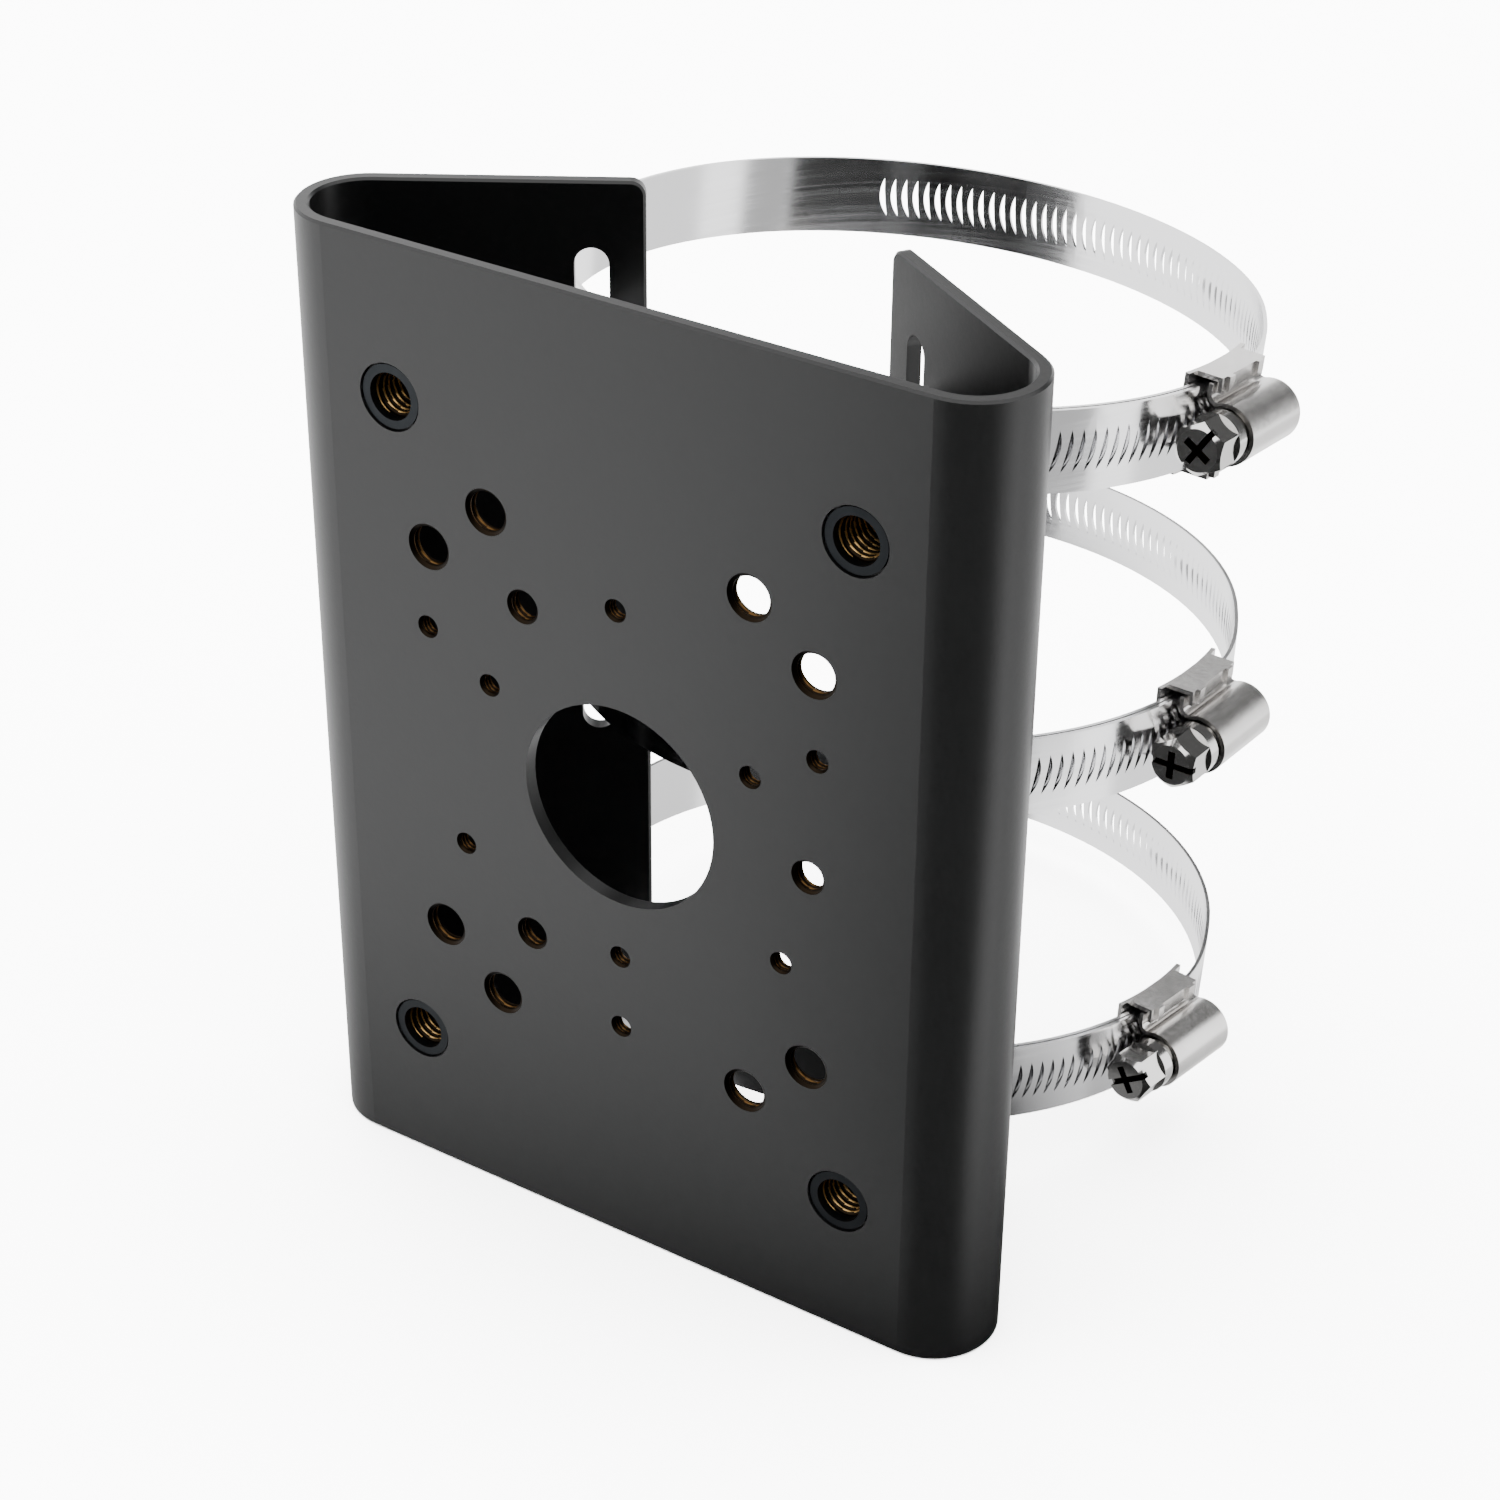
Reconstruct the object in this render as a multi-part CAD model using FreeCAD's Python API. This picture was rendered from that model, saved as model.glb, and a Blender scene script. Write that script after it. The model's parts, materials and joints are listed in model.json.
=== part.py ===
import FreeCAD, Part
import math
import os

V = FreeCAD.Vector

# Camera pole mount bracket, millimetres, Z up.
# The origin is the centre of the cable hole on the front face of the plate.
# The plate faces -Y, the pole stands behind it along Z.

# Folded sheet
plate_height = 173.0
flat_half = 54.5
bend_outer = 11.2
sheet = 2.5
wing_angle = 32.0
wing_length = 43.0
wing_corner = 2.4
edge_bevel = 0.4

# Cable hole in the middle of the plate
cable_dia = 36.2

# Threaded corner inserts
insert_dx = 85.0
insert_dz = 120.5
insert_bore = 8.0
insert_shank = 9.2
insert_flange = 10.8
insert_flange_thick = 1.0
insert_recess = 0.3
insert_bulge = 11.6
insert_bulge_long = 3.4
insert_long = 15.0
insert_play = 0.1
flange_play = 0.35

# Tapped holes, as plain bores at their nominal diameters
large_bore = 8.0
medium_bore = 6.0
small_bore = 4.0

# Tapped hole patterns on the plate
tall_dx = 48.8
tall_dz = 91.0
square_d = 72.0
medium_radius = 35.6
medium_angles = (0, 120, 240)
outer_radius = 42.6
outer_angles = (30, 150, 270)
inner_radius = 28.7
inner_angles = (30, 150, 270)
side_radius = 35.7
side_angles = (90, 210, 330)

# Band slots in the wings
slot_wide = 5.6
slot_long = 27.0
slot_pitch = 61.8
slot_inset = 8.7

# Clamp bands
band_inner = 58.6
band_thick = 0.65
band_wide = 14.0
layer_gap = 0.3
ring_x = -0.85
ring_forward = 0.5

# Perforations: crescents that lean towards the housing side
perf_pitch = 2.06
perf_long = 7.2
perf_lean = 0.55
perf_bow = 1.1
perf_hollow = 0.15

# Angles round a ring, counted from the middle of its housing
perf_start_angle = 127.0
step_start_angle = 30.0
step_end_angle = 10.0
hidden_angle = 5.0
tail_angle = 45.0

# Clamp housings
housing_play = 0.3
saddle_thick = 0.8
saddle_long = 19.0
wall_long = 14.4
saddle_lip = 2.6
tab_long = 1.7
tab_rise = 0.6
tab_spread = 9.8
cap_long = 16.2
cap_thick = 0.75
cap_flange = 0.6
cap_sweep = 1.2

# Clamp screws
worm_radius = 4.1
worm_core = 3.7
worm_play = 0.35
worm_lift = 0.25
neck_radius = 3.0
collar_radius = 4.6
collar_thick = 2.3
collar_play = 1.1
hex_flats = 8.0
hex_tall = 5.75
hex_chamfer = 0.9
drive_slot_wide = 1.1
drive_cross_wide = 1.3
drive_cross_long = 5.0
drive_deep = 1.4

# How far each ring sags under the middle of its slots
top_sag = 4.0
middle_sag = 3.0
bottom_sag = 2.4

# Each clamp: name, slot level, sag, and in degrees the droop towards the back, the
# lean towards the housing side, the housing's place round the ring and the turn of
# the screw.
clamps = [
    ("top", 1, top_sag, 5.5, 2.1, -2.0, -60.0),
    ("middle", 0, middle_sag, 3.1, 0.4, -1.9, 0.0),
    ("bottom", -1, bottom_sag, 4.6, 1.2, -5.9, -33.0),
]

# Derived sizes of the sheet
half_height = plate_height / 2.0
wing_rad = math.radians(wing_angle)
along_x = -math.cos(wing_rad)
along_y = math.sin(wing_rad)
out_x = math.sin(wing_rad)
out_y = math.cos(wing_rad)
wing_root_x = flat_half + bend_outer * out_x
wing_root_y = bend_outer + bend_outer * out_y
slot_reach = wing_length - slot_inset
slot_x = wing_root_x + along_x * slot_reach - out_x * sheet / 2.0
slot_y = wing_root_y + along_y * slot_reach - out_y * sheet / 2.0

# Derived sizes of the band stack, as distances from the ring centre
band_outer = band_inner + band_thick
band_middle = band_inner + band_thick / 2.0
tail_inner = band_outer + layer_gap
tail_outer = tail_inner + band_thick
half_band = band_wide / 2.0
saddle_top = band_inner - housing_play
flange_low = tail_outer + housing_play
flange_high = flange_low + cap_thick
worm_axis = tail_outer + worm_lift + worm_radius
cap_inside = worm_radius + worm_play
cap_outside = cap_inside + cap_thick

# The rings pass through both slots of a level
ring_y = slot_y + math.sqrt(band_middle ** 2 - slot_x ** 2) - ring_forward

over = 1.0
tiny = 0.001
half_turn = 180.0
full_turn = 360.0


def save(shape, name):
    shape.exportStep(os.path.join("parts", name + ".step"))


def mirrored(point, side):
    return V(point[0] * side, point[1], 0)


def wing_point(distance, depth):
    x = wing_root_x + along_x * distance - out_x * depth
    y = wing_root_y + along_y * distance - out_y * depth
    return (x, y)


# Plate

def bend_edge(radius, side):
    mid_angle = -math.radians(wing_angle) / 2.0
    start = (flat_half, bend_outer - radius)
    middle = (
        flat_half + radius * math.cos(mid_angle),
        bend_outer + radius * math.sin(mid_angle),
    )
    end = (flat_half + radius * out_x, bend_outer + radius * out_y)
    return Part.Arc(
        mirrored(start, side), mirrored(middle, side), mirrored(end, side)
    ).toShape()


def folded_sheet():
    edges = []
    for depth in (0.0, sheet):
        left = V(-flat_half, depth, 0)
        right = V(flat_half, depth, 0)
        edges.append(Part.makeLine(left, right))
        for side in (-1, 1):
            edges.append(bend_edge(bend_outer - depth, side))
            root = mirrored(wing_point(0.0, depth), side)
            tip = mirrored(wing_point(wing_length, depth), side)
            edges.append(Part.makeLine(root, tip))
    for side in (-1, 1):
        outer_tip = mirrored(wing_point(wing_length, 0.0), side)
        inner_tip = mirrored(wing_point(wing_length, sheet), side)
        edges.append(Part.makeLine(outer_tip, inner_tip))
    wire = Part.Wire(Part.__sortEdges__(edges))
    body = Part.Face(wire).extrude(V(0, 0, plate_height))
    body.translate(V(0, 0, -half_height))
    return body


def round_wing_corners(body):
    corners = []
    for edge in body.Edges:
        if abs(edge.Length - sheet) > tiny:
            continue
        if len(edge.Vertexes) != 2:
            continue
        ends = [vertex.Point for vertex in edge.Vertexes]
        if abs(ends[0].z - ends[1].z) < tiny:
            corners.append(edge)
    return body.makeFillet(wing_corner, corners)


def bevel_sheet_rims(body):
    rims = []
    for edge in body.Edges:
        if edge.Length < sheet + tiny:
            continue
        box = edge.BoundBox
        level = box.ZLength < tiny
        at_end = abs(abs(box.Center.z) - half_height) < tiny
        if level and at_end:
            rims.append(edge)
    return body.makeChamfer(edge_bevel, rims)


def front_cylinder(x, z, radius, start, length):
    return Part.makeCylinder(radius, length, V(x, start, z), V(0, 1, 0))


def through_hole(x, z, bore):
    return front_cylinder(x, z, bore / 2.0, -over, sheet + 2 * over)


def ring_points(radius, angles):
    points = []
    for angle in angles:
        rad = math.radians(angle)
        points.append((radius * math.cos(rad), radius * math.sin(rad)))
    return points


def rectangle_points(wide, tall):
    points = []
    for side in (-1, 1):
        for level in (-1, 1):
            points.append((side * wide / 2.0, level * tall / 2.0))
    return points


def wing_slot(side, level):
    radius = slot_wide / 2.0
    reach = slot_long / 2.0 - radius
    axis = V(out_x * side, out_y, 0)
    start = mirrored((slot_x, slot_y), side) - axis * (sheet / 2.0 + over)
    depth = sheet + 2 * over
    tools = []
    for end in (-1, 1):
        base = start + V(0, 0, level * slot_pitch + end * reach)
        tools.append(Part.makeCylinder(radius, depth, base, axis))
    box = Part.makeBox(slot_wide, depth, 2 * reach)
    box.translate(V(-radius, 0, -reach))
    box.rotate(V(0, 0, 0), V(0, 0, 1), -side * wing_angle)
    box.translate(start + V(0, 0, level * slot_pitch))
    tools.append(box)
    return tools


def make_plate():
    body = folded_sheet()
    body = round_wing_corners(body)
    body = bevel_sheet_rims(body)
    tools = [through_hole(0, 0, cable_dia)]
    for x, z in rectangle_points(insert_dx, insert_dz):
        seat = insert_flange / 2.0 + flange_play
        deep = insert_recess + insert_flange_thick
        shank = insert_shank / 2.0 + insert_play
        tools.append(front_cylinder(x, z, seat, -over, over + deep))
        tools.append(front_cylinder(x, z, shank, -over, sheet + 2 * over))
    for x, z in rectangle_points(tall_dx, tall_dz):
        tools.append(through_hole(x, z, large_bore))
    for x, z in rectangle_points(square_d, square_d):
        tools.append(through_hole(x, z, large_bore))
    for x, z in ring_points(medium_radius, medium_angles):
        tools.append(through_hole(x, z, medium_bore))
    for radius, angles in (
        (outer_radius, outer_angles),
        (inner_radius, inner_angles),
        (side_radius, side_angles),
    ):
        for x, z in ring_points(radius, angles):
            tools.append(through_hole(x, z, small_bore))
    for side in (-1, 1):
        for level in (-1, 0, 1):
            tools += wing_slot(side, level)
    return body.cut(tools)


# Threaded inserts

def make_insert(x, z):
    bore = insert_bore / 2.0
    shank = insert_shank / 2.0
    flange = insert_flange / 2.0
    bulge = insert_bulge / 2.0
    face = insert_recess
    seat = face + insert_flange_thick
    back = sheet
    bulge_end = back + insert_bulge_long
    end = face + insert_long
    profile = [
        (bore, face),
        (flange, face),
        (flange, seat),
        (shank, seat),
        (shank, back),
        (bulge, back),
        (bulge, bulge_end),
        (shank, bulge_end),
        (shank, end),
        (bore, end),
    ]
    points = [V(radius, depth, 0) for radius, depth in profile]
    points.append(points[0])
    section = Part.Face(Part.makePolygon(points))
    body = section.revolve(V(0, 0, 0), V(0, 1, 0), full_turn)
    body.translate(V(x, 0, z))
    return body


# Clamps are built flat round the Z axis with the housing on +X,
# then turned, tilted and moved to their slots.

def polar(radius, angle):
    rad = math.radians(angle)
    return V(radius * math.cos(rad), radius * math.sin(rad), 0)


def arc_edge(radius, first, last):
    middle = (first + last) / 2.0
    return Part.Arc(
        polar(radius, first), polar(radius, middle), polar(radius, last)
    ).toShape()


def band_strip():
    # Clockwise from the fixed plain end, once round the ring, then over the
    # plain end and on as the free tail.
    edges = []
    for offset in (0.0, band_thick):
        inner = band_inner + offset
        outer = tail_inner + offset
        edges.append(arc_edge(inner, hidden_angle, step_start_angle - full_turn))
        first = polar(inner, step_start_angle)
        second = polar(outer, step_end_angle)
        turn = (second - first).Length / 3.0
        lead = V(first.y, -first.x, 0).normalize() * turn
        follow = V(second.y, -second.x, 0).normalize() * turn
        curve = Part.BezierCurve()
        curve.setPoles([first, first + lead, second - follow, second])
        edges.append(curve.toShape())
        edges.append(arc_edge(outer, step_end_angle, -tail_angle))
    for radius, angle in ((band_inner, hidden_angle), (tail_inner, -tail_angle)):
        inside = polar(radius, angle)
        outside = polar(radius + band_thick, angle)
        edges.append(Part.makeLine(inside, outside))
    wire = Part.Wire(Part.__sortEdges__(edges))
    strip = Part.Face(wire).extrude(V(0, 0, band_wide))
    strip.translate(V(0, 0, -half_band))
    return strip


def perforation(angle, radius):
    half = perf_long / 2.0
    low = V(radius - layer_gap / 2.0, -perf_lean, -half)
    high = V(low.x, perf_lean, half)
    edges = []
    for bow in (perf_hollow, perf_bow):
        edges.append(Part.Arc(low, V(low.x, bow, 0), high).toShape())
    tool = Part.Face(Part.Wire(edges)).extrude(V(band_thick + 2 * layer_gap, 0, 0))
    tool.rotate(V(0, 0, 0), V(0, 0, 1), angle)
    return tool


def step_radius(angle):
    # Inner radius of the perforated layer at an angle.
    if angle >= step_start_angle:
        return band_inner
    if angle <= step_end_angle:
        return tail_inner
    share = (step_start_angle - angle) / (step_start_angle - step_end_angle)
    smooth = share * share * (3.0 - 2.0 * share)
    return band_inner + (tail_inner - band_inner) * smooth


def make_band():
    strip = band_strip()
    pitch_angle = math.degrees(perf_pitch / tail_inner)
    tools = []
    angle = perf_start_angle
    while angle > -tail_angle + pitch_angle:
        tools.append(perforation(angle, step_radius(angle)))
        angle -= pitch_angle
    return strip.cut(tools)


def cap_arc(radius, height, size, first, last):
    # An arc in the front end plane of the cap, angles from the outward axis.
    points = []
    for angle in (first, (first + last) / 2.0, last):
        rad = math.radians(angle)
        points.append(
            V(
                radius + size * math.cos(rad),
                -cap_long / 2.0,
                height + size * math.sin(rad),
            )
        )
    return Part.Arc(points[0], points[1], points[2]).toShape()


def make_cap():
    # The arch over the worm runs out in a concave sweep to a flange each side.
    sweep_radius = flange_high + cap_sweep
    rise = worm_axis - sweep_radius
    reach = math.sqrt((cap_outside + cap_sweep) ** 2 - rise ** 2)
    meet = math.degrees(math.atan2(reach, -rise))
    edge_height = half_band + cap_flange
    edges = []
    for size, blend, low in (
        (cap_outside, cap_sweep, flange_high),
        (cap_inside, cap_sweep + cap_thick, flange_low),
    ):
        edges.append(cap_arc(worm_axis, 0.0, size, -meet, meet))
        for side in (-1, 1):
            turn = side * (meet - half_turn)
            end = -side * half_turn
            edges.append(cap_arc(sweep_radius, side * reach, blend, turn, end))
            base = V(low, -cap_long / 2.0, side * reach)
            edge = V(low, -cap_long / 2.0, side * edge_height)
            edges.append(Part.makeLine(base, edge))
    for side in (-1, 1):
        low = V(flange_low, -cap_long / 2.0, side * edge_height)
        high = V(flange_high, -cap_long / 2.0, side * edge_height)
        edges.append(Part.makeLine(low, high))
    wire = Part.Wire(Part.__sortEdges__(edges))
    return Part.Face(wire).extrude(V(0, cap_long, 0))


def make_saddle():
    # A channel under the band whose side walls fold over the cap flanges.
    half_angle = math.degrees(math.asin(saddle_long / 2.0 / saddle_top))
    wall_in = half_band + cap_flange + housing_play
    wall_out = wall_in + saddle_thick
    low = saddle_top - saddle_thick
    lip_low = flange_high + housing_play
    lip_high = lip_low + saddle_thick
    edges = [
        arc_edge(low, -half_angle, half_angle),
        arc_edge(saddle_top, -half_angle, half_angle),
        Part.makeLine(polar(low, half_angle), polar(saddle_top, half_angle)),
        Part.makeLine(polar(low, -half_angle), polar(saddle_top, -half_angle)),
    ]
    floor = Part.Face(Part.Wire(Part.__sortEdges__(edges)))
    body = floor.extrude(V(0, 0, 2 * wall_out))
    body.translate(V(0, 0, -wall_out))
    pieces = []
    sink = saddle_top - math.sqrt(saddle_top ** 2 - (wall_long / 2.0) ** 2)
    wall_low = low - sink + saddle_thick / 2.0
    for side in (-1, 1):
        wall_z = wall_in if side > 0 else -wall_out
        lip_z = wall_out - saddle_lip if side > 0 else -wall_out
        wall = Part.makeBox(lip_high - wall_low, wall_long, saddle_thick)
        wall.translate(V(wall_low, -wall_long / 2.0, wall_z))
        lip = Part.makeBox(saddle_thick, wall_long, saddle_lip)
        lip.translate(V(lip_low, -wall_long / 2.0, lip_z))
        pieces += [wall, lip]
        for end in (-1, 1):
            tab = Part.makeBox(saddle_thick + tab_rise, tab_long, saddle_lip)
            tab_y = end * tab_spread / 2.0 - tab_long / 2.0
            tab.translate(V(lip_low, tab_y, lip_z))
            pieces.append(tab)
    return body.fuse(pieces).removeSplitter()


def make_screw():
    # Head towards -Y, worm inside the cap; its own axis is local Y.
    # The drive slot runs from flat to flat of the hexagon.
    def turned(radius, start, end):
        return Part.makeCylinder(
            radius, end - start, V(worm_axis, start, 0), V(0, 1, 0)
        )

    front = -cap_long / 2.0
    collar_back = front - collar_play
    collar_front = collar_back - collar_thick
    face = collar_front - hex_tall
    worm_front = front + cap_thick
    worm_back = -worm_front
    worm = turned(worm_core, worm_front, worm_back)
    neck = turned(neck_radius, collar_back - collar_thick / 2.0, worm_front + over)
    collar = turned(collar_radius, collar_front, collar_back)
    sixth = math.pi / 3.0
    corner = hex_flats / 2.0 / math.cos(sixth / 2.0)
    points = []
    for index in range(7):
        angle = sixth * (index + 0.5)
        x = worm_axis + corner * math.cos(angle)
        z = corner * math.sin(angle)
        points.append(V(x, face, z))
    head = Part.Face(Part.makePolygon(points)).extrude(V(0, hex_tall + over / 2.0, 0))
    face_radius = (hex_flats - hex_chamfer) / 2.0
    cone = Part.makeCone(
        face_radius,
        face_radius + hex_tall + over,
        hex_tall + over,
        V(worm_axis, face, 0),
        V(0, 1, 0),
    )
    head = head.common(cone)
    body = worm.fuse([neck, collar, head]).removeSplitter()
    slot = Part.makeBox(2 * corner, drive_deep, drive_slot_wide)
    slot.translate(V(worm_axis - corner, face, -drive_slot_wide / 2.0))
    cross = Part.makeBox(drive_cross_wide, drive_deep, drive_cross_long)
    cross_x = worm_axis - drive_cross_wide / 2.0
    cross.translate(V(cross_x, face, -drive_cross_long / 2.0))
    return body.cut([slot.fuse(cross)])


def placed(shape, level, sag, droop, lean, housing):
    # The ring hangs in its slots and droops from there towards the back.
    result = shape.copy()
    result.rotate(V(0, 0, 0), V(0, 0, 1), housing)
    result.rotate(V(0, 0, 0), V(1, 0, 0), -droop)
    result.rotate(V(0, 0, 0), V(0, 1, 0), lean)
    drop = (ring_y - slot_y) * math.sin(math.radians(droop))
    result.translate(V(ring_x, ring_y, level * slot_pitch - sag - drop))
    return result


os.makedirs("parts", exist_ok=True)
save(make_plate(), "bracket_plate")

for side, side_name in ((-1, "left"), (1, "right")):
    for level, level_name in ((1, "top"), (-1, "bottom")):
        insert = make_insert(side * insert_dx / 2.0, level * insert_dz / 2.0)
        save(insert, "insert_" + level_name + "_" + side_name)

band = make_band()
cap = make_cap()
saddle = make_saddle()
screw = make_screw()
for name, level, sag, droop, lean, housing, turn in clamps:
    pose = (level, sag, droop, lean, housing)
    turned_screw = screw.copy()
    turned_screw.rotate(V(worm_axis, 0, 0), V(0, 1, 0), turn)
    save(placed(band, *pose), "clamp_band_" + name)
    save(placed(cap, *pose), "housing_cap_" + name)
    save(placed(saddle, *pose), "housing_saddle_" + name)
    save(placed(turned_screw, *pose), "worm_screw_" + name)
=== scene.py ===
import json
import math

import bmesh
import bpy
from mathutils import Matrix, Vector


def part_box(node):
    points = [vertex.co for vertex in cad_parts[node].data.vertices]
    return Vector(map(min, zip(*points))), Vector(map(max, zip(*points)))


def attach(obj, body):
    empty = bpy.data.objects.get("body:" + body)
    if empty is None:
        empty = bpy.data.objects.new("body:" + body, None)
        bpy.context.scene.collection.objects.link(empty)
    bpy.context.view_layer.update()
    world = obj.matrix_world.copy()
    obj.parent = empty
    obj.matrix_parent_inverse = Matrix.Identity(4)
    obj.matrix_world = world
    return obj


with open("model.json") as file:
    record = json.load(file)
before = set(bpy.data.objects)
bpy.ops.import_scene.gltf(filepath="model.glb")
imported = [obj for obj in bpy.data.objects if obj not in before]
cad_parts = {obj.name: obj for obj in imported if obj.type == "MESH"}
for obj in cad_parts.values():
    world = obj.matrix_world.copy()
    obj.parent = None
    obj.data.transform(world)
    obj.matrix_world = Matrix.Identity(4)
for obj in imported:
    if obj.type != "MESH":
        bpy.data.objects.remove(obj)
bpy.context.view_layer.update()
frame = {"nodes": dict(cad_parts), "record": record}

nodes = frame["nodes"]
record = frame["record"]
MM = 0.001

# Camera, as fitted to the photograph
camera_azimuth = 33.05
camera_elevation = 31.39
camera_roll = -0.54
camera_distance = 0.51804
camera_target = Vector((0.02482, 0.0, 0.01927))
focal_pixels = 3407.7
frame_pixels = 1500.0
sensor_width = 36.0
nearest = 0.01
farthest = 20.0

# Threads: pitch of each hole size, their depth and bright crest as shares of the
# pitch (the rest of each groove is painted shade), the countersink in front of them as
# a share of the sheet, the depth where an insert's thread starts, and the gap that keeps
# a new piece off the surface behind it
large_pitch = 1.25 * MM
medium_pitch = 1.0 * MM
small_pitch = 0.7 * MM
thread_share = 0.5
crest_share = 0.36
sink_share = 0.2
insert_start = 1.8 * MM
skin = 0.03 * MM

# Angle of the first hole of each circle
medium_first = 0.0
small_first = 30.0
side_first = 90.0

# Worm of a clamp screw
worm_pitch = 2.06 * MM
worm_core = 3.66 * MM
worm_crest = 4.08 * MM
worm_half = 7.0 * MM

# Drive recess of a screw: the head face in front of the worm's middle, the depth, the
# halves of the slot and of the cross, and for each screw its droop, lean, place round
# the ring and turn in degrees
drive_face = 17.25 * MM
drive_deep = 1.4 * MM
drive_slot = (3.5 * MM, 0.55 * MM)
drive_cross = (0.65 * MM, 2.5 * MM)
drive_turns = {
    "screw_top": (5.5, 2.1, -2.0, -60.0),
    "screw_middle": (3.1, 0.4, -1.9, 0.0),
    "screw_bottom": (4.6, 1.2, -5.9, -33.0),
}

# Round steps of a thread and rows in one pitch
thread_steps = 48
thread_rows = 10

# Grain of the surfaces in cycles a metre, the heights of their bumps, and the scale of
# a metal's broad clouds as a share of its fine grain
coat_cloud = 18.0
coat_grain = 2600.0
coat_peel = 700.0
coat_bump = 0.1 * MM
band_cloud = 60.0
band_lines = (12.0, 12.0, 1500.0)
metal_bump = 0.05 * MM
cloud_share = 0.2

# Studio round the bracket, in degrees of azimuth and elevation, with the brightness
# of each zone. The shade and the side beside it are measured from the front towards
# the right, the back and the low zone from straight behind towards the left. The
# lower edge of the back zone rises up to its knee.
sky_glow = 2.5
shade_glow = 0.045
side_glow = 0.6
back_glow = 0.1
shade_left = -22.0
shade_right = 74.0
shade_top = 35.0
side_right = 91.0
side_low = -28.0
back_left = -36.0
back_knee = -3.0
back_right = 38.0
back_low = -14.0
back_lift = 20.0
back_high = 48.0
back_fade = 10.0
low_glow = 1.5
low_left = -72.0
low_right = -12.0
low_high = -16.0
soft_edge = 4.0

# Floor paper, and the card on it, painted shade seen only in reflections: its black side
# begins right of a leaning line, and a painted shadow lies round the plate's foot, weaker on the
# left
floor_half = 6.0
paper_gain = 5.8
card_low = (-0.2, -0.45)
card_high = (0.3, 0.3)
card_lift = 0.4 * MM
card_lean = 0.54
card_edge = 0.035
card_soft = 0.08
card_black = 0.01
foot_left = 0.6
foot_right = 0.98
foot_reach = 0.13

mounts = {mount["name"]: mount for mount in record["mounts"]}
plate_low, plate_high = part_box("bracket_plate")
floor_level = plate_low.z


# Camera

def make_camera():
    azimuth = math.radians(camera_azimuth)
    elevation = math.radians(camera_elevation)
    forward = Vector((
        -math.sin(azimuth) * math.cos(elevation),
        math.cos(azimuth) * math.cos(elevation),
        -math.sin(elevation),
    ))
    right = Vector((math.cos(azimuth), math.sin(azimuth), 0.0))
    down = forward.cross(right)
    roll = math.radians(camera_roll)
    image_right = right * math.cos(roll) + down * math.sin(roll)
    image_down = down * math.cos(roll) - right * math.sin(roll)
    data = bpy.data.cameras.new("camera")
    data.sensor_width = sensor_width
    data.lens = sensor_width * focal_pixels / frame_pixels
    data.clip_start = nearest
    data.clip_end = farthest
    camera = bpy.data.objects.new("camera", data)
    bpy.context.scene.collection.objects.link(camera)
    turn = Matrix((image_right, -image_down, -forward)).transposed()
    camera.matrix_world = (
        Matrix.Translation(camera_target - forward * camera_distance) @ turn.to_4x4()
    )
    bpy.context.scene.camera = camera


# Materials

def new_material(name):
    material = bpy.data.materials.new(name)
    material.use_nodes = True
    tree = material.node_tree
    return material, tree, tree.nodes["Principled BSDF"]


def add_node(tree, kind, **inputs):
    node = tree.nodes.new(kind)
    for name, value in inputs.items():
        node.inputs[name.replace("_", " ")].default_value = value
    return node


def noise_at(tree, source, scale, detail=2.0, roughness=0.5):
    noise = add_node(tree, "ShaderNodeTexNoise", Scale=scale, Detail=detail, Roughness=roughness)
    tree.links.new(source, noise.inputs["Vector"])
    return noise.outputs["Fac"]


def ramp(tree, source, low, high, start=0.0, end=1.0):
    node = tree.nodes.new("ShaderNodeMapRange")
    node.inputs["From Min"].default_value = start
    node.inputs["From Max"].default_value = end
    node.inputs["To Min"].default_value = low
    node.inputs["To Max"].default_value = high
    tree.links.new(source, node.inputs["Value"])
    return node.outputs["Result"]


def colour_between(tree, source, first, second):
    node = tree.nodes.new("ShaderNodeMix")
    node.data_type = "RGBA"
    node.inputs[6].default_value = (*first, 1.0)
    node.inputs[7].default_value = (*second, 1.0)
    tree.links.new(source, node.inputs["Factor"])
    return node.outputs[2]


def bump(tree, source, strength, distance):
    node = add_node(tree, "ShaderNodeBump", Strength=strength, Distance=distance)
    tree.links.new(source, node.inputs["Height"])
    return node.outputs["Normal"]


def combine(tree, operation, first, second):
    node = tree.nodes.new("ShaderNodeMath")
    node.operation = operation
    for socket, value in zip(node.inputs, (first, second)):
        if isinstance(value, float):
            socket.default_value = value
        else:
            tree.links.new(value, socket)
    return node.outputs[0]


def object_coordinates(tree):
    return tree.nodes.new("ShaderNodeTexCoord").outputs["Object"]


def powder_coat():
    material, tree, shader = new_material("powder_coat")
    place = object_coordinates(tree)
    cloud = noise_at(tree, place, coat_cloud, detail=3.0)
    grain = noise_at(tree, place, coat_grain, detail=3.0, roughness=0.6)
    peel = noise_at(tree, place, coat_peel)
    dark = (0.0022, 0.0023, 0.0025)
    light = (0.0032, 0.0033, 0.0036)
    tree.links.new(colour_between(tree, cloud, dark, light), shader.inputs["Base Color"])
    tree.links.new(ramp(tree, grain, 0.31, 0.4), shader.inputs["Roughness"])
    height = combine(tree, "ADD", ramp(tree, grain, 0.0, 0.4), peel)
    tree.links.new(bump(tree, height, 0.12, coat_bump), shader.inputs["Normal"])
    shader.inputs["Specular IOR Level"].default_value = 0.42
    return material


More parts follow.
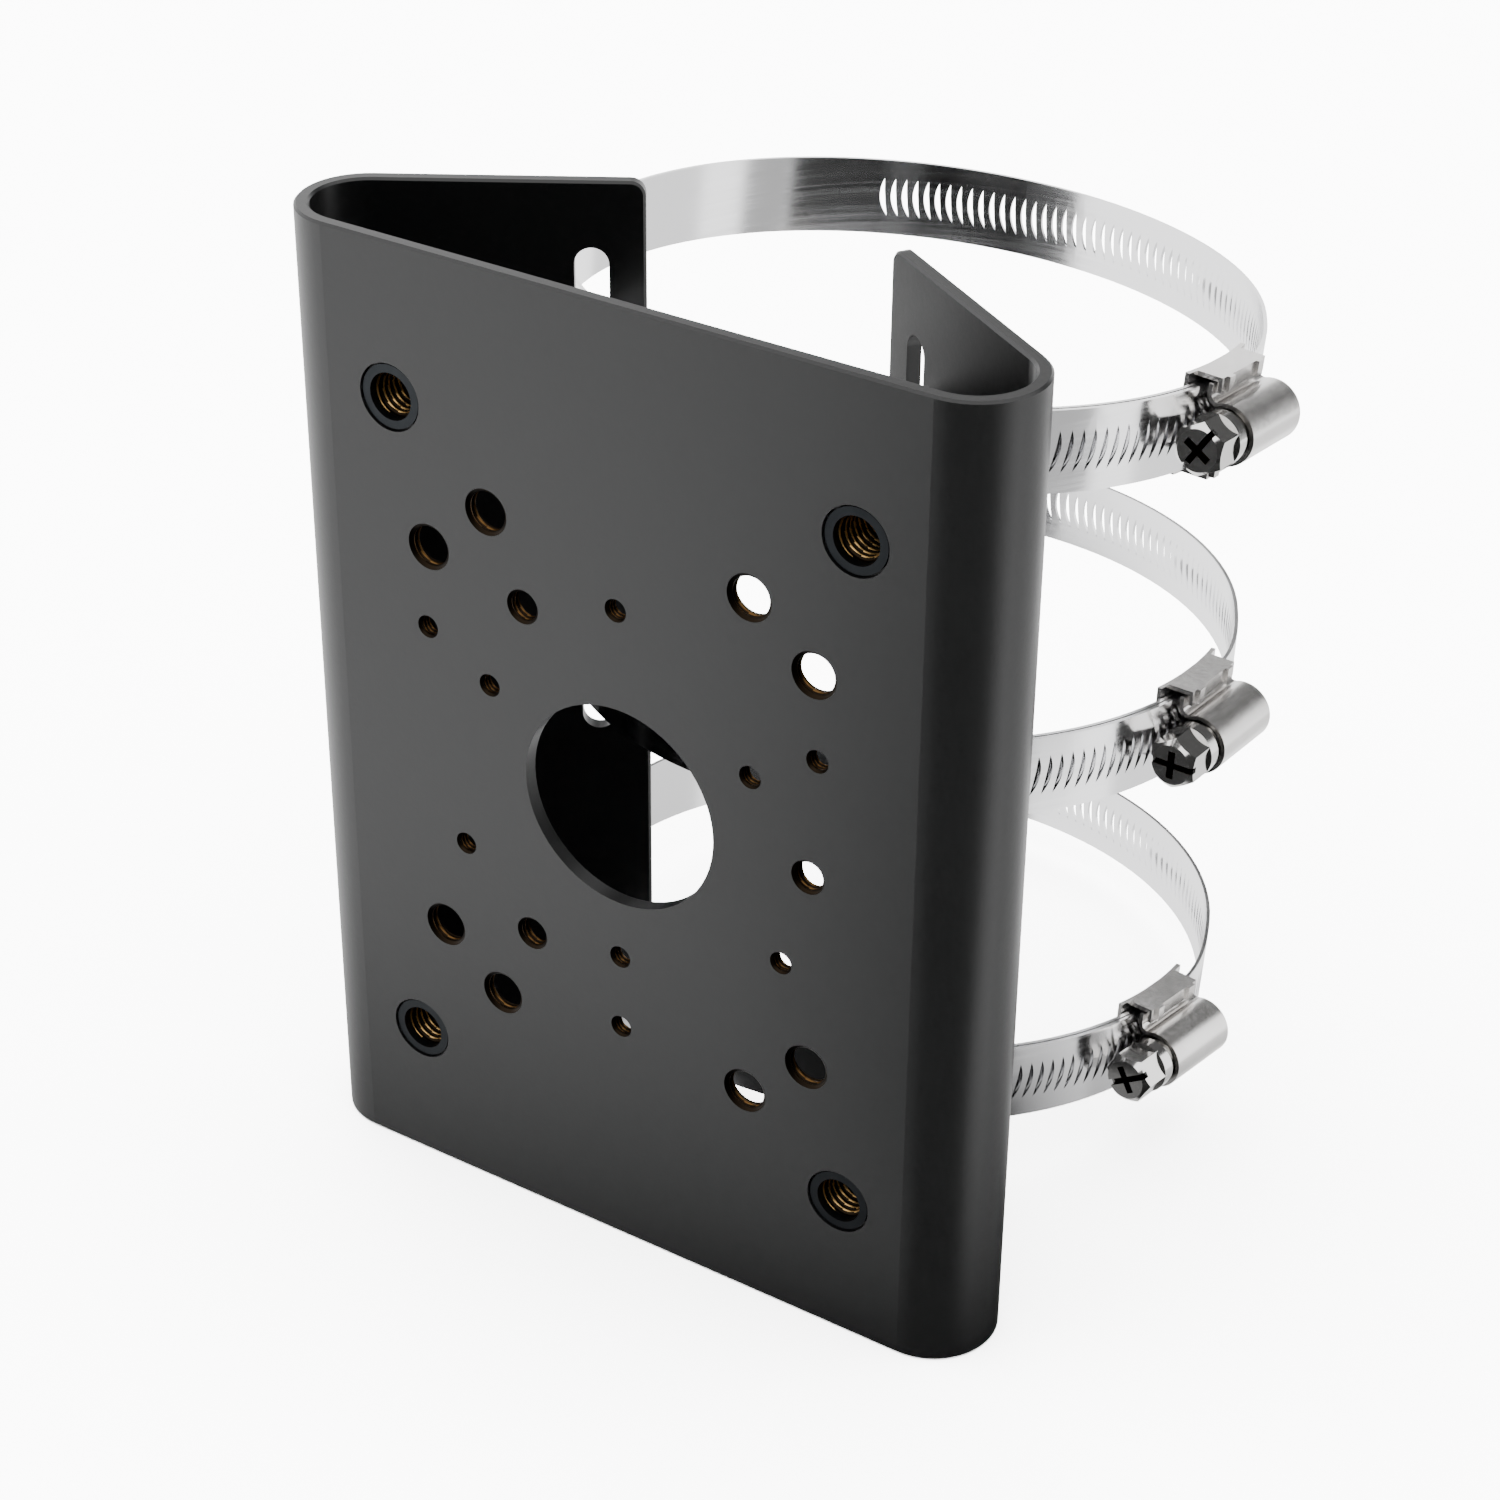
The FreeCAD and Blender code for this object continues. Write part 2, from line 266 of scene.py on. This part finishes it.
def plain_metal(name, dark, light, rough_low, rough_high, scale, strength):
    material, tree, shader = new_material(name)
    place = object_coordinates(tree)
    cloud = noise_at(tree, place, scale * cloud_share, detail=3.0)
    fine = noise_at(tree, place, scale, detail=4.0, roughness=0.6)
    tree.links.new(colour_between(tree, cloud, dark, light), shader.inputs["Base Color"])
    tree.links.new(ramp(tree, fine, rough_low, rough_high), shader.inputs["Roughness"])
    tree.links.new(bump(tree, fine, strength, metal_bump), shader.inputs["Normal"])
    shader.inputs["Metallic"].default_value = 1.0
    return material


def brushed_band():
    # Fine rolling lines that run along the strip, so they are stretched round the ring.
    material, tree, shader = new_material("band_steel")
    place = object_coordinates(tree)
    stretch = add_node(tree, "ShaderNodeMapping")
    stretch.inputs["Scale"].default_value = band_lines
    tree.links.new(place, stretch.inputs["Vector"])
    lines = noise_at(tree, stretch.outputs["Vector"], 1.0, detail=5.0, roughness=0.65)
    cloud = noise_at(tree, place, band_cloud, detail=3.0)
    dark = (0.84, 0.84, 0.85)
    light = (0.92, 0.92, 0.93)
    tree.links.new(colour_between(tree, cloud, dark, light), shader.inputs["Base Color"])
    rough = ramp(tree, lines, 0.11, 0.2, start=0.3, end=0.7)
    tree.links.new(rough, shader.inputs["Roughness"])
    tree.links.new(bump(tree, lines, 0.03, metal_bump), shader.inputs["Normal"])
    shader.inputs["Metallic"].default_value = 1.0
    return material


def floor_paper():
    # Matt paper, overexposed to white as in a product shot.
    material, tree, shader = new_material("floor_paper")
    tree.nodes.remove(shader)
    paper = add_node(tree, "ShaderNodeBsdfDiffuse")
    paper.inputs["Color"].default_value = (paper_gain, paper_gain, paper_gain, 1.0)
    tree.links.new(paper.outputs[0], tree.nodes["Material Output"].inputs["Surface"])
    return material


def past_edge(tree, value, middle, half):
    # Square of how far a coordinate lies past the plate's footprint.
    past = combine(tree, "ABSOLUTE", combine(tree, "SUBTRACT", value, middle), 0.0)
    past = combine(tree, "MAXIMUM", combine(tree, "SUBTRACT", past, half), 0.0)
    return combine(tree, "MULTIPLY", past, past)


def card_shade():
    # Painted shade for reflections: black on the card's right side, and a painted shadow round the
    # plate's foot.
    material, tree, shader = new_material("card_shade")
    parts = tree.nodes.new("ShaderNodeSeparateXYZ")
    tree.links.new(object_coordinates(tree), parts.inputs[0])
    x, y = parts.outputs[0], parts.outputs[1]
    lean = combine(tree, "MULTIPLY", y, -card_lean)
    across = combine(tree, "ADD", x, lean)
    right = ramp(tree, across, 0.0, 1.0, card_edge - card_soft / 2, card_edge + card_soft / 2)
    ahead = ramp(tree, y, 1.0, 0.0, -card_soft / 2, 0.0)
    right = combine(tree, "MULTIPLY", right, ahead)
    beside = past_edge(tree, x, 0.0, plate_high.x)
    behind = past_edge(tree, y, plate_high.y / 2, plate_high.y / 2)
    distance = combine(tree, "SQRT", combine(tree, "ADD", beside, behind), 0.0)
    near = ramp(tree, distance, 1.0, 0.0, 0.0, foot_reach)
    share = ramp(tree, x, foot_left, foot_right, -plate_high.x, plate_high.x)
    foot = combine(tree, "MULTIPLY", combine(tree, "MULTIPLY", near, near), share)
    shade = combine(tree, "MAXIMUM", right, foot)
    black = add_node(tree, "ShaderNodeBsdfDiffuse")
    black.inputs["Color"].default_value = (card_black, card_black, card_black, 1.0)
    clear = tree.nodes.new("ShaderNodeBsdfTransparent")
    mix = tree.nodes.new("ShaderNodeMixShader")
    tree.links.new(shade, mix.inputs[0])
    tree.links.new(clear.outputs[0], mix.inputs[1])
    tree.links.new(black.outputs[0], mix.inputs[2])
    tree.nodes.remove(shader)
    tree.links.new(mix.outputs[0], tree.nodes["Material Output"].inputs["Surface"])
    return material


def dress(start, material):
    # Every CAD node whose name starts so takes the material.
    for name, node in nodes.items():
        if name.startswith(start):
            for slot in node.material_slots:
                slot.material = material


# Threads

def add_tube(mesh, centre, axes, start, length, pitch, radius_at, material_at):
    # A tube whose radius and material follow the depth and the thread's phase.
    across, upward, inward = axes
    rows = int(length / pitch * thread_rows)
    rings = []
    for row in range(rows + 1):
        depth = start + length * row / rows
        ring = []
        for step in range(thread_steps):
            turn = step / thread_steps
            angle = 2 * math.pi * turn
            radius = radius_at(depth, (depth / pitch + turn) % 1.0)
            side = across * math.cos(angle) + upward * math.sin(angle)
            ring.append(mesh.verts.new(centre + side * radius + inward * depth))
        rings.append(ring)
    for row in range(rows):
        depth = start + length * (row + 0.5) / rows
        for step in range(thread_steps):
            after = (step + 1) % thread_steps
            lower, upper = rings[row], rings[row + 1]
            face = mesh.faces.new((lower[step], lower[after], upper[after], upper[step]))
            phase = (depth / pitch + (step + 0.5) / thread_steps) % 1.0
            face.material_index = material_at(depth, phase)
            face.smooth = True


def add_piece(name, mesh, materials, body):
    data = bpy.data.meshes.new(name)
    mesh.to_mesh(data)
    mesh.free()
    for material in materials:
        data.materials.append(material)
    piece = bpy.data.objects.new(name, data)
    bpy.context.scene.collection.objects.link(piece)
    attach(piece, body)


def groove_at(phase):
    # 0 on a hole's crest line and 1 in the middle of its groove. On a worm, the other
    # way round.
    return 1.0 - abs(2.0 * phase - 1.0)


def tapped_holes(name, centres, wall, pitch, face, sink, end, materials):
    # A countersink, if it has one, then a thread that narrows the bore to its core
    # diameter: bright crests, with painted shade in the grooves and the countersink.
    crest = wall - thread_share * pitch
    first = crest if sink else wall

    def radius_at(depth, phase):
        if depth < face + sink:
            return wall + (crest - wall) * (depth - face) / sink
        lead = min(1.0, (depth - face - sink) / (pitch / 2))
        return first + (crest + (wall - crest) * groove_at(phase) - first) * lead

    def material_at(depth, phase):
        # The grooves and the countersink take the first material, a painted shade; the crests take
        # the second.
        on_crest = groove_at(phase) < crest_share
        return 1 if on_crest and depth >= face + sink else 0

    mesh = bmesh.new()
    axes = (Vector((1, 0, 0)), Vector((0, 0, 1)), Vector((0, 1, 0)))
    for x, z in centres:
        centre = Vector((x, 0, z))
        add_tube(mesh, centre, axes, face, end - face, pitch, radius_at, material_at)
    add_piece(name, mesh, materials, "bracket")


def worm_threads(material):
    for joint in record["behaviour"]["joints"]:
        inward = -Vector(joint["axis"])
        across = inward.orthogonal().normalized()
        axes = (across, inward.cross(across), inward)

        def radius_at(depth, phase):
            rise = min(1.0, 2.0 * groove_at(phase))
            return worm_core + (worm_crest - worm_core) * rise

        mesh = bmesh.new()
        add_tube(
            mesh, Vector(joint["pos_m"]), axes, -worm_half, 2 * worm_half, worm_pitch,
            radius_at, lambda depth, phase: 0,
        )
        add_piece(joint["name"] + "_worm", mesh, [material], joint["child"])


def turned_about(axis, degrees):
    return Matrix.Rotation(math.radians(degrees), 3, axis)


def drive_recess_shade(material):
    # Painted shade on the walls and floor inside the slot and cross of each head. The
    # slot's ends open through the flats of the hexagon.
    long, narrow = drive_slot[0], drive_slot[1] - skin
    wide, tall = drive_cross[0] - skin, drive_cross[1] - skin
    corner = [(long, narrow), (wide, narrow), (wide, tall)]
    outline = corner + [(-x, z) for x, z in reversed(corner)]
    outline += [(-x, -z) for x, z in outline]
    for joint in record["behaviour"]["joints"]:
        droop, lean, round_ring, turn = drive_turns[joint["child"]]
        rest_turn = (
            turned_about("Y", lean) @ turned_about("X", -droop)
            @ turned_about("Z", round_ring) @ turned_about("Y", turn)
        )
        mesh = bmesh.new()
        edges = []
        for depth in (2 * skin, drive_deep - skin):
            centre = Vector(joint["pos_m"]) + Vector(joint["axis"]) * (drive_face - depth)
            edges.append([
                mesh.verts.new(centre + rest_turn @ Vector((x, 0, z))) for x, z in outline
            ])
        front, floor = edges
        mesh.faces.new(floor)
        for index in range(len(outline)):
            after = (index + 1) % len(outline)
            open_end = abs(outline[index][0]) == long == abs(outline[after][0])
            if not open_end:
                mesh.faces.new((front[index], front[after], floor[after], floor[index]))
        add_piece(joint["child"] + "_drive", mesh, [material], joint["child"])


def rectangle_centres(mount):
    dims = mount["dims"]
    centres = []
    for side in (-1, 1):
        for level in (-1, 1):
            centres.append((
                mount["pos_m"][0] + side * dims["spacing_x_mm"] * MM / 2,
                mount["pos_m"][2] + level * dims["spacing_y_mm"] * MM / 2,
            ))
    return centres


def circle_centres(mount, first_angle):
    radius = mount["dims"]["pcd_mm"] * MM / 2
    centres = []
    for index in range(mount["dims"]["count"]):
        angle = math.radians(first_angle) + 2 * math.pi * index / mount["dims"]["count"]
        centres.append((radius * math.cos(angle), radius * math.sin(angle)))
    return centres


def make_threads(dark, bronze, gold):
    sheet = mounts["cable_hole"]["dims"]["length_mm"] * MM
    large = rectangle_centres(mounts["tall_pattern"]) + rectangle_centres(mounts["square_pattern"])
    medium = circle_centres(mounts["medium_circle"], medium_first)
    small = (
        circle_centres(mounts["outer_circle"], small_first)
        + circle_centres(mounts["inner_circle"], small_first)
        + circle_centres(mounts["side_circle"], side_first)
    )
    for name, centres, mount, pitch in (
        ("threads_large", large, "tall_pattern", large_pitch),
        ("threads_medium", medium, "medium_circle", medium_pitch),
        ("threads_small", small, "outer_circle", small_pitch),
    ):
        wall = mounts[mount]["dims"]["hole_r_mm"] * MM - skin
        tapped_holes(
            name, centres, wall, pitch, skin, sink_share * sheet, sheet - skin,
            [dark, bronze],
        )
    inserts = mounts["corner_inserts"]
    wall = inserts["dims"]["hole_r_mm"] * MM - skin
    insert_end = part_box("insert_top_left")[1].y
    tapped_holes(
        "threads_insert", rectangle_centres(inserts), wall, large_pitch,
        insert_start, 0.0, insert_end - skin, [dark, gold],
    )


# Stage and light

def flat_sheet(name, low, high, level, material):
    mesh = bpy.data.meshes.new(name)
    corners = [
        (low[0], low[1], level), (high[0], low[1], level),
        (high[0], high[1], level), (low[0], high[1], level),
    ]
    mesh.from_pydata(corners, [], [(0, 1, 2, 3)])
    mesh.materials.append(material)
    sheet = bpy.data.objects.new(name, mesh)
    bpy.context.scene.collection.objects.link(sheet)
    return sheet


def make_stage():
    floor = flat_sheet(
        "floor", (-floor_half, -floor_half), (floor_half, floor_half), floor_level, floor_paper()
    )
    floor.visible_glossy = False
    # A card in front of the plate shows only in reflections, as painted shade and a painted
    # shadow.
    card = flat_sheet("card", card_low, card_high, floor_level + card_lift, card_shade())
    card.visible_camera = False
    card.visible_diffuse = False
    card.visible_shadow = False


def above_edge(tree, source, edge):
    return ramp(tree, source, 0.0, 1.0, edge - soft_edge / 2, edge + soft_edge / 2)


def below_edge(tree, source, edge, fade=soft_edge):
    return ramp(tree, source, 1.0, 0.0, edge - fade / 2, edge + fade / 2)


def window(tree, source, low, high, fade=soft_edge):
    # 1 between the two bounds, with soft edges.
    rise = above_edge(tree, source, low)
    return combine(tree, "MULTIPLY", rise, below_edge(tree, source, high, fade))


def blend_to(tree, glow, mask, level):
    node = tree.nodes.new("ShaderNodeMix")
    node.data_type = "FLOAT"
    tree.links.new(mask, node.inputs[0])
    if isinstance(glow, float):
        node.inputs[2].default_value = glow
    else:
        tree.links.new(glow, node.inputs[2])
    node.inputs[3].default_value = level
    return node.outputs[0]


def in_degrees(tree, operation, first, second):
    # The angle that the operation gives in radians, in degrees.
    return combine(tree, "MULTIPLY", combine(tree, operation, first, second), 180.0 / math.pi)


def make_light():
    # A white studio with a dark side towards the viewer, a dark zone behind and a
    # dimmer one low at the back right.
    world = bpy.data.worlds.new("studio")
    world.use_nodes = True
    tree = world.node_tree
    background = tree.nodes["Background"]
    background.inputs["Color"].default_value = (1.0, 1.0, 1.0, 1.0)
    direction = tree.nodes.new("ShaderNodeTexCoord").outputs["Generated"]
    parts = tree.nodes.new("ShaderNodeSeparateXYZ")
    tree.links.new(direction, parts.inputs[0])
    x, y, z = parts.outputs
    azimuth = in_degrees(tree, "ARCTAN2", x, combine(tree, "MULTIPLY", y, -1.0))
    behind = in_degrees(tree, "ARCTAN2", combine(tree, "MULTIPLY", x, -1.0), y)
    elevation = in_degrees(tree, "ARCSINE", z, 0.0)
    shade = combine(
        tree, "MULTIPLY",
        window(tree, azimuth, shade_left, shade_right),
        below_edge(tree, elevation, shade_top),
    )
    side = combine(
        tree, "MULTIPLY",
        window(tree, azimuth, shade_right, side_right),
        window(tree, elevation, side_low, shade_top),
    )
    low = combine(
        tree, "MULTIPLY",
        window(tree, behind, low_left, low_right),
        below_edge(tree, elevation, low_high),
    )
    lower_edge = ramp(tree, behind, back_low, back_lift, back_left, back_knee)
    above = combine(tree, "SUBTRACT", elevation, lower_edge)
    back = combine(
        tree, "MULTIPLY",
        window(tree, behind, back_left, back_right, back_fade),
        above_edge(tree, above, 0.0),
    )
    back = combine(tree, "MULTIPLY", back, below_edge(tree, elevation, back_high, back_fade))
    glow = blend_to(tree, sky_glow, low, low_glow)
    glow = blend_to(tree, glow, side, side_glow)
    glow = blend_to(tree, glow, back, back_glow)
    glow = blend_to(tree, glow, shade, shade_glow)
    tree.links.new(glow, background.inputs["Strength"])
    bpy.context.scene.world = world


make_camera()

screw_metal = plain_metal(
    "screw_steel", dark=(0.72, 0.71, 0.69), light=(0.8, 0.79, 0.78),
    rough_low=0.08, rough_high=0.18, scale=1500.0, strength=0.05,
)
housing_metal = plain_metal(
    "housing_steel", dark=(0.72, 0.7, 0.68), light=(0.86, 0.85, 0.84),
    rough_low=0.16, rough_high=0.3, scale=1200.0, strength=0.12,
)
insert_plating = plain_metal(
    "insert_plating", dark=(0.016, 0.018, 0.02), light=(0.028, 0.031, 0.034),
    rough_low=0.35, rough_high=0.5, scale=1500.0, strength=0.1,
)
dress("bracket_plate", powder_coat())
dress("insert_", insert_plating)
dress("clamp_band_", brushed_band())
dress("housing_", housing_metal)
dress("worm_screw_", screw_metal)

# Near-black metal that paints the shade deep in thread grooves, countersinks and drive recesses.
painted_recess_shade = plain_metal(
    "painted_recess_shade", dark=(0.008, 0.006, 0.004), light=(0.018, 0.012, 0.007),
    rough_low=0.35, rough_high=0.5, scale=2000.0, strength=0.1,
)
thread_bronze = plain_metal(
    "thread_bronze", dark=(0.07, 0.036, 0.012), light=(0.13, 0.07, 0.024),
    rough_low=0.25, rough_high=0.4, scale=2000.0, strength=0.1,
)
thread_gold = plain_metal(
    "thread_gold", dark=(0.42, 0.25, 0.09), light=(0.62, 0.4, 0.16),
    rough_low=0.3, rough_high=0.42, scale=2000.0, strength=0.1,
)
make_threads(painted_recess_shade, thread_bronze, thread_gold)
worm_threads(screw_metal)
drive_recess_shade(painted_recess_shade)

make_stage()
make_light()
